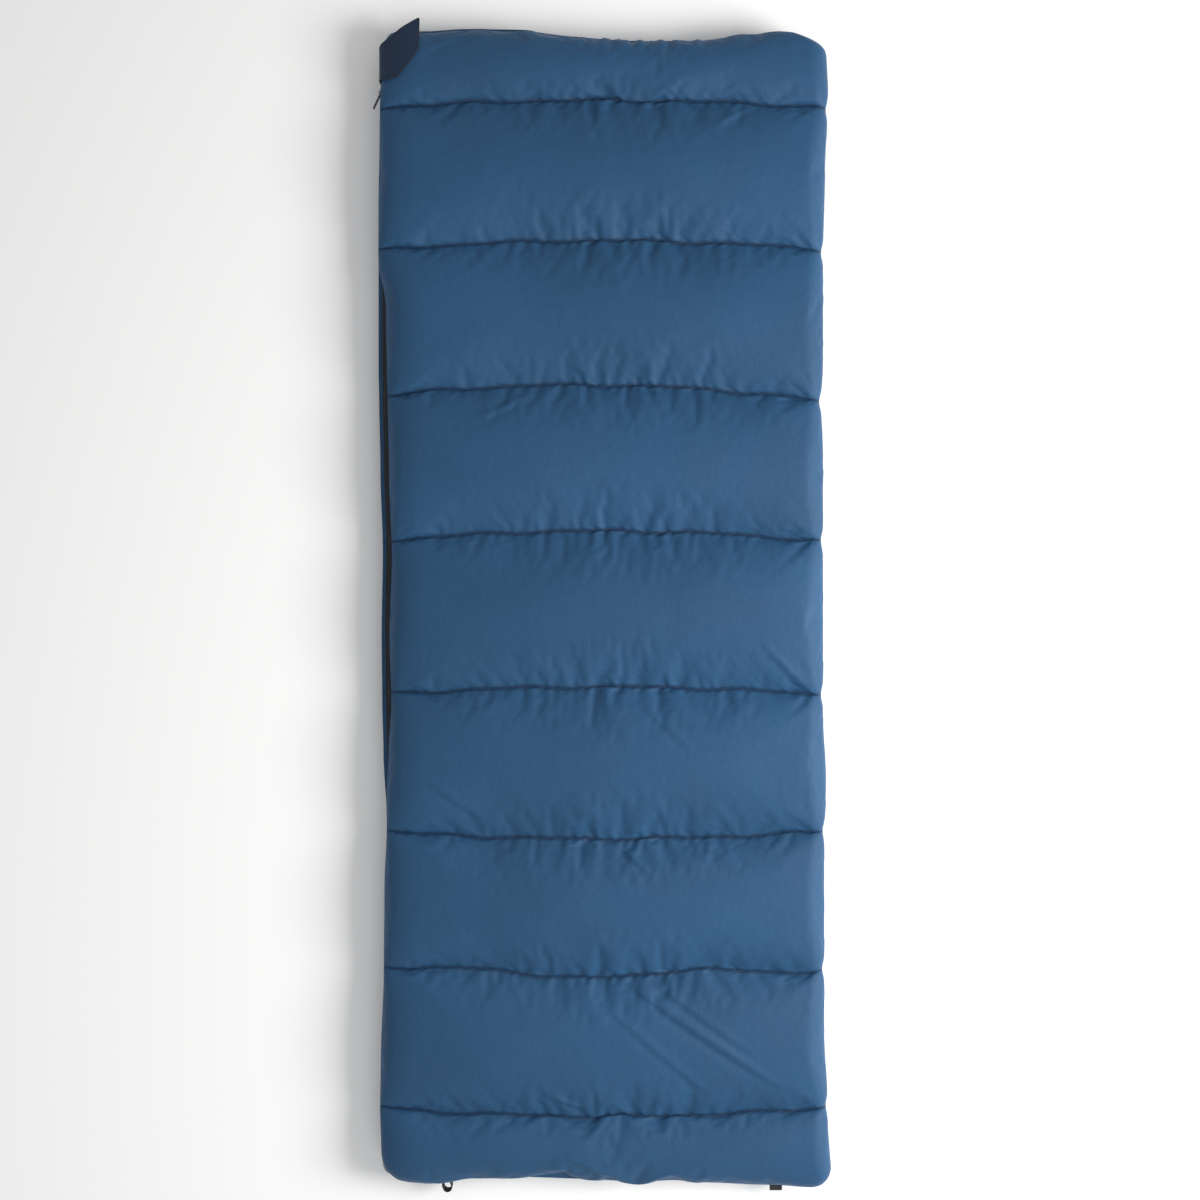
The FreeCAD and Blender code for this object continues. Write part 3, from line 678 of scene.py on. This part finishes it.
def bar_form(centres, radii, sides):
    """A small solid bar: rings of given radii about centres, with a cap at each end. A ring stands square
    to the bar's run in its own plane, which holds the first axis."""
    centres = np.array(centres, float)
    run = np.gradient(centres, axis=0)
    run /= np.linalg.norm(run, axis=1, keepdims=True)
    across = np.array([0.0, 1.0, 0.0]) if abs(run[0, 1]) < 0.9 else np.array([1.0, 0.0, 0.0])
    upward = np.cross(run, across)
    turn = np.arange(sides) * 2 * np.pi / sides
    ring = np.cos(turn)[None, :, None] * across + np.sin(turn)[None, :, None] * upward[:, None]
    points = centres[:, None] + np.array(radii)[:, None, None] * ring
    number = np.arange(len(centres) * sides).reshape(len(centres), sides)
    beside = np.roll(number, -1, 1)
    walls = np.stack([number[:-1], number[1:], beside[1:], beside[:-1]], -1).reshape(-1, 4)
    caps = [number[0].tolist(), number[-1][::-1].tolist()]
    return points.reshape(-1, 3), walls.tolist() + caps


def spaced(path, pitch):
    """Points at a constant pitch along a path, and the path's direction at each."""
    gaps = np.linalg.norm(np.diff(path, axis=0), axis=1)
    run = np.concatenate([[0], np.cumsum(gaps)])
    at = np.arange(pitch / 2, run[-1], pitch)
    points = np.stack([np.interp(at, run, path[:, k]) for k in range(3)], -1)
    direction = np.gradient(points, axis=0)
    return points, direction / np.linalg.norm(direction, axis=1, keepdims=True)


def shade_by(tree, shader, height, colour, low, high):
    """Shades a surface by a pattern's height, from low to high times its colour."""
    shade = add_node(tree, "ValToRGB")
    for stop, share in zip(shade.color_ramp.elements, (low, high)):
        stop.color = (*[c * share for c in colour], 1)
    tree.links.new(height, shade.inputs["Fac"])
    tree.links.new(shade.outputs["Color"], shader.inputs["Base Color"])


def thread_material(name, colour):
    """Twisted thread: fine slanting stripes in shade and bump."""
    cord, tree, shader = surface_material(name, 0.6, colour)
    twist = texture(tree, "TexWave", Scale=700.0)
    twist.bands_direction = "DIAGONAL"
    shade_by(tree, shader, twist.outputs["Fac"], colour, 0.6, 1)
    raise_bump(tree, shader, twist.outputs["Fac"], 0.6, 0.0002)
    return cord


quilting_thread = thread_material("quilting_thread", (0.012, 0.045, 0.11))
stitch_course = [(-1.9, 0), (-1.4, 0.1), (0, 0.3), (1.4, 0.1), (1.9, 0)]
stitch_form, stitch_faces = bar_form(
    [(at * MM, 0, lift * MM) for at, lift in stitch_course],
    [0.2 * MM, 0.5 * MM, 0.6 * MM, 0.5 * MM, 0.2 * MM],
    6,
)
THREAD_SHORT = 3 * MM  # how far before the fold's line the thread ends
SEAM_ROWS = [2 * row for row in np.flatnonzero((row_share == 0) & (row_line > 0))]
for word, side, grid in (("lower", -1, lower_grid), ("upper", 1, upper_grid)):
    stitch_places, stitch_frames = [], []
    for row in SEAM_ROWS:
        seam_path = grid[row, 2 * RIM_CELLS : -2 * FOLD_CELLS]
        seam_path = seam_path[seam_path[:, 0] < fold_line - THREAD_SHORT]
        places, run = spaced(seam_path, 5.0 * MM)
        upright = np.broadcast_to([0.0, 0.0, float(side)], run.shape)
        sideways = np.cross(upright, run)
        stitch_places.append(places + 0.3 * MM * upright)
        stitch_frames.append(np.stack([run, sideways, upright], 1))
    stitching = copies(
        word + "_quilting",
        stitch_form,
        stitch_faces,
        np.concatenate(stitch_places),
        np.concatenate(stitch_frames),
        quilting_thread,
    )
    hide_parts(word + "_stitching")
    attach(stitching, word + "_quilt")

# ---- Zip tapes and coils -------------------------------------------------------------------------
# Black herringbone tape sewn inside the edge of each quilt, down the side, round the corner and along
# the foot. Nylon coils are stitched to both tapes and mesh at the zip's level.


def herringbone_material(name, colour, scale):
    """Woven tape: slanting ribs one way and the other in shade and bump."""
    tape, tree, shader = surface_material(name, 0.75, colour)
    rib = texture(tree, "TexWave", Scale=scale, Distortion=1.5)
    rib.bands_direction = "DIAGONAL"
    shade_by(tree, shader, rib.outputs["Fac"], colour, 0.55, 1.3)
    raise_bump(tree, shader, rib.outputs["Fac"], 0.5, 0.0003)
    return tape


tape_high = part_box("lower_zip_tape")[1]
chain_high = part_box("lower_zip_chain")[1]
TAPE_IN = 9.5 * MM
CORNER_CUT = 60 * MM


def zip_course():
    """The zip's line seen from above: down the side, a smooth curve round the corner, along the foot.

    Where it isn't near a slider's two places it follows the edge's wander.
    """
    y = np.linspace(tape_high.y, foot_end + CORNER_CUT, 500)
    plain = np.clip((0.80 - y) / 0.08, 0, 1) * np.clip((y + 0.86) / 0.08, 0, 1)
    side = np.stack([zip_side + TAPE_IN + plain * (zip_edge(y) - zip_side), y], -1)
    x = np.linspace(zip_side + CORNER_CUT, tape_high.x, 240)
    plain = np.clip((0.20 - x) / 0.08, 0, 1) * np.clip((x + 0.28) / 0.08, 0, 1)
    wave = cross_lines(-1)[0](x) - foot_end
    foot = np.stack([x, foot_end + TAPE_IN + plain * wave], -1)
    corner = np.array([side[-1, 0], foot[0, 1]])
    share = np.linspace(0, 1, 26)[1:-1, None]
    bend = side[-1] * (1 - share) ** 3 + corner * 3 * share * (1 - share) + foot[0] * share**3
    course = np.concatenate([side, bend, foot])
    return np.concatenate([course, np.full((len(course), 1), zip_level)], 1)


course = zip_course()
tape_places, tape_run = spaced(course, 2.5 * MM)
outward = np.stack([tape_run[:, 1], -tape_run[:, 0], 0 * tape_run[:, 0]], -1)
zip_tape_cloth = herringbone_material("zip_tape", (0.012, 0.012, 0.014), 900.0)
coil_nylon, coil_tree, coil_shader = surface_material("coil_nylon", 0.32, (0.010, 0.010, 0.012))
coil_grain = texture(coil_tree, "TexNoise", Scale=900.0)
raise_bump(coil_tree, coil_shader, coil_grain.outputs["Fac"], 0.15, 0.0002)

tape_out_steps = np.array([-16.0, -11.0, -6.0, -2.0, -0.6, 0.0, 0.0, 0.0]) * MM
tape_heights = np.array([4.7, 4.7, 4.7, 4.6, 4.2, 3.2, 1.9, 0.7]) * MM
tooth_course = [(0.3, 2.9), (1.5, 3.0), (2.4, 2.3), (2.6, 1.3), (2.3, 0.45)]
COIL_PITCH = 2.0 * MM
for word, side in (("lower", -1), ("upper", 1)):
    ribbon = tape_places[:, None] + outward[:, None] * tape_out_steps[None, :, None]
    ribbon[..., 2] += side * tape_heights
    tape = layered(word + "_tape", ribbon[:, ::side], 0.7 * MM, zip_tape_cloth)
    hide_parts(word + "_zip_tape")
    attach(tape, word + "_quilt")
    tooth, tooth_faces = bar_form(
        [(out * MM, 0, high * MM) for out, high in tooth_course],
        [0.42 * MM, 0.46 * MM, 0.5 * MM, 0.55 * MM, 0.5 * MM],
        5,
    )
    along_side = course[course[:, 1] < chain_high.y]
    tooth_places, tooth_run = spaced(along_side, COIL_PITCH)
    tooth_places = tooth_places + tooth_run * (COIL_PITCH / 4) * side
    tooth_out = np.stack([tooth_run[:, 1], -tooth_run[:, 0], 0 * tooth_run[:, 0]], -1)
    upright = np.broadcast_to([0.0, 0.0, float(side)], tooth_run.shape)
    frames = np.stack([tooth_out, tooth_run * -side, upright], 1)
    coil = copies(word + "_coil", tooth, tooth_faces, tooth_places, frames, coil_nylon)
    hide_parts(word + "_zip_chain")
    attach(coil, word + "_quilt")

# ---- Sliders, pulls, stops and the zip's ends ----------------------------------------------------
# Die-cast sliders and stamped pulls in black enamel, worn a little at the corners. The box and pin at
# the foot are moulded nylon.

enamel, enamel_tree, enamel_shader = surface_material("black_enamel", 0.35, (0.012, 0.012, 0.014))
enamel_noise = texture(enamel_tree, "TexNoise", Scale=350.0, Detail=4.0)
enamel_worn = add_node(enamel_tree, "ValToRGB")
enamel_worn.color_ramp.elements[0].position = 0.35
enamel_worn.color_ramp.elements[0].color = (0.010, 0.010, 0.012, 1)
enamel_worn.color_ramp.elements[1].position = 0.8
enamel_worn.color_ramp.elements[1].color = (0.05, 0.05, 0.052, 1)
enamel_gloss = enamel_tree.nodes.new("ShaderNodeMapRange")
enamel_gloss.inputs["To Min"].default_value = 0.25
enamel_gloss.inputs["To Max"].default_value = 0.5
enamel_tree.links.new(enamel_noise.outputs["Fac"], enamel_worn.inputs["Fac"])
enamel_tree.links.new(enamel_worn.outputs["Color"], enamel_shader.inputs["Base Color"])
enamel_tree.links.new(enamel_noise.outputs["Fac"], enamel_gloss.inputs["Value"])
enamel_tree.links.new(enamel_gloss.outputs["Result"], enamel_shader.inputs["Roughness"])
raise_bump(enamel_tree, enamel_shader, enamel_noise.outputs["Fac"], 0.12, 0.0002)


def refinish(node, material):
    """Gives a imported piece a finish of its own."""
    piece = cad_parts[node]
    for held in piece.material_slots:
        held.material = material


for node in ("side_slider", "side_pull", "foot_slider", "foot_pull", "lower_top_stop", "upper_top_stop"):
    refinish(node, enamel)
for node in ("zip_box", "zip_pin"):
    refinish(node, coil_nylon)

# ---- Guard flap ----------------------------------------------------------------------------------
# A navy leaf of doubled satin with a piped edge. It is sewn to the upper quilt, wraps over the head end
# of the zip and holds to the lower quilt with a hook-and-loop patch.

FLAP_LIFT = 2.4 * MM  # the flap's middle above the quilt
FLAP_THICK = 1.6 * MM
FLAP_TOP_COLUMNS = 24
FLAP_HEM_Y = 0.928  # past this the flap droops off the quilt's end
flap_bend_x = -0.346
flap_hang_x = -0.3668
corner_cloth = upper_grid[(upper_grid[..., 1] > 0.83) & (upper_grid[..., 0] < -0.26)]


def quilt_top(x, y):
    """The upper quilt's height over points: its grid's heights weighted by nearness."""
    gap = (corner_cloth[:, 0] - x[..., None]) ** 2 + (corner_cloth[:, 1] - y[..., None]) ** 2
    weight = np.exp(-gap / (4 * MM) ** 2) + 1e-9
    return (weight * corner_cloth[:, 2]).sum(-1) / weight.sum(-1)


def flap_grid():
    """Columns run from the leaf's inner side, over the quilt, round the edge and down past the zip.

    On the quilt it follows the cloth. Past the bend it is a Bezier curve that ends straight down.
    """
    lengthwise = np.linspace(0, 1, 31)[:, None]
    top_x = np.linspace(-0.300, flap_bend_x, FLAP_TOP_COLUMNS)[None, :]
    fall = np.linspace(0, 1, 14)[None, 1:]
    hang = np.linspace(0, 1, 9)[None, 1:]
    fall_x = flap_bend_x + (flap_hang_x - flap_bend_x) * fall
    plan_x = np.concatenate([top_x, fall_x, flap_hang_x + 0 * hang], 1)
    upper_y = np.interp(-plan_x, [0.302, 0.330, 0.352, 0.366], [0.963, 0.946, 0.928, 0.916])
    lower_y = np.interp(-plan_x, [0.300, 0.308, 0.334, 0.352, 0.366], [0.912, 0.898, 0.866, 0.864, 0.866])
    y = lower_y + (upper_y - lower_y) * lengthwise
    top_y = np.minimum(y, FLAP_HEM_Y)[:, :FLAP_TOP_COLUMNS]
    top_z = quilt_top(top_x + 0 * top_y, top_y) + FLAP_LIFT
    start_z = top_z[:, -1:]
    slope = (top_z[:, -1:] - top_z[:, -3:-2]) / (top_x[:, -1:] - top_x[:, -3:-2])
    reach = 0.011
    first = (flap_bend_x - reach, start_z - slope * reach)
    second = (flap_hang_x, 0.060)
    last = (flap_hang_x, 0.046)
    blend = [(1 - fall) ** 3, 3 * fall * (1 - fall) ** 2, 3 * fall**2 * (1 - fall), fall**3]
    bend_x = blend[0] * flap_bend_x + blend[1] * first[0] + blend[2] * second[0] + blend[3] * last[0]
    bend_z = blend[0] * start_z + blend[1] * first[1] + blend[2] * second[1] + blend[3] * last[1]
    hang_z = last[1] + (0.0285 - last[1]) * hang + 0 * start_z
    x = np.concatenate([top_x + 0 * start_z, bend_x + 0 * start_z, flap_hang_x + 0 * hang_z], 1)
    z = np.concatenate([top_z, bend_z, hang_z], 1)
    droop = 0.22 * np.clip(y - FLAP_HEM_Y, 0, 1)
    z[:, :FLAP_TOP_COLUMNS] -= droop[:, :FLAP_TOP_COLUMNS]
    return np.stack([x, y, z], -1)


def tube(name, path, radius, sides, material):
    """A closed ring of tube about a closed path: circles square to the path's direction."""
    run = np.roll(path, -1, 0) - np.roll(path, 1, 0)
    run /= np.linalg.norm(run, axis=1, keepdims=True)
    guide = np.where(np.abs(run[:, 2:]) < 0.9, [[0.0, 0.0, 1.0]], [[1.0, 0.0, 0.0]])
    across = np.cross(run, guide)
    across /= np.linalg.norm(across, axis=1, keepdims=True)
    upward = np.cross(across, run)
    turn = np.arange(sides) * 2 * np.pi / sides
    ring = np.cos(turn)[None, :, None] * across[:, None] + np.sin(turn)[None, :, None] * upward[:, None]
    points = path[:, None] + radius * ring
    number = np.arange(len(path) * sides).reshape(len(path), sides)
    ahead, beside = np.roll(number, -1, 0), np.roll(number, -1, 1)
    faces = np.stack([number, beside, np.roll(beside, -1, 0), ahead], -1).reshape(-1, 4)
    return mesh_piece(name, points, faces.tolist(), material)


flap_cloth = quilt_cloth_material("flap_satin", (0.012, 0.030, 0.068), 620.0)
piping_cloth = herringbone_material("flap_piping", (0.008, 0.014, 0.030), 1200.0)
leaf = flap_grid()
flap = layered("guard_flap_leaf", leaf[:, ::-1], FLAP_THICK, flap_cloth)
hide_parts("flap_tab", "flap_base")
border = np.concatenate([leaf[0, :-1], leaf[:-1, -1], leaf[-1, :0:-1], leaf[:0:-1, 0]])
piping = tube("guard_flap_piping", border, 1.25 * MM, 7, piping_cloth)
for piece in (flap, piping):
    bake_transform(piece)

# ---- Hook-and-loop patches -----------------------------------------------------------------------
# A square of hooks inside the flap and a square of pile on the lower quilt's edge, both sewn on.


def pile_material(name, colour):
    """Short dense pile: fine cells in shade and bump."""
    pile, tree, shader = surface_material(name, 0.95, colour)
    cells = texture(tree, "TexVoronoi", Scale=1100.0)
    shade_by(tree, shader, cells.outputs["Distance"], colour, 1.6, 0.5)
    raise_bump(tree, shader, cells.outputs["Distance"], 0.9, 0.0005)
    return pile


hook_pile = pile_material("hook_and_loop_pile", (0.015, 0.017, 0.022))
hook_cloth = leaf[4:-4, -8:-1] + np.array([FLAP_THICK / 2 + 0.6 * MM, 0, 0])
hook_patch = layered("hook_pile_patch", hook_cloth, 1.0 * MM, hook_pile)
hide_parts("hook_patch")
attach(hook_patch, "guard_flap")
patch_rows = (lower_grid[:, 0, 1] > 0.864) & (lower_grid[:, 0, 1] < 0.917)
edge_cloth = lower_grid[patch_rows][:, 1:9]
along, down = np.gradient(edge_cloth, axis=(0, 1))
outwards = np.cross(along, down)
outwards /= np.linalg.norm(outwards, axis=-1, keepdims=True)
outwards *= np.sign(-outwards[..., :1].mean())
loop_patch = layered("loop_pile_patch", edge_cloth + 0.9 * MM * outwards, 1.0 * MM, hook_pile)
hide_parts("loop_patch")
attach(loop_patch, "lower_quilt")

# ---- Webbing loops at the foot -------------------------------------------------------------------
# Black ribbed nylon webbing, doubled into a loop and sewn into the foot seam.


def webbing_material(name, colour):
    """Ribbed webbing: fine ribs along the strap, crossed by slanting picks."""
    strap, tree, shader = surface_material(name, 0.7, colour)
    mixed = add_node(tree, "Math")
    mixed.operation = "ADD"
    for number, (direction, scale) in enumerate((("Z", 420.0), ("DIAGONAL", 900.0))):
        wave = texture(tree, "TexWave", Scale=scale)
        wave.bands_direction = direction
        tree.links.new(wave.outputs["Fac"], mixed.inputs[number])
    shade_by(tree, shader, mixed.outputs["Value"], colour, 0.5, 1.6)
    raise_bump(tree, shader, mixed.outputs["Value"], 0.6, 0.0004)
    return strap


webbing = webbing_material("webbing_nylon", (0.011, 0.011, 0.013))
for node in ("left_loop", "right_loop", "left_loop_stub", "right_loop_stub"):
    refinish(node, webbing)
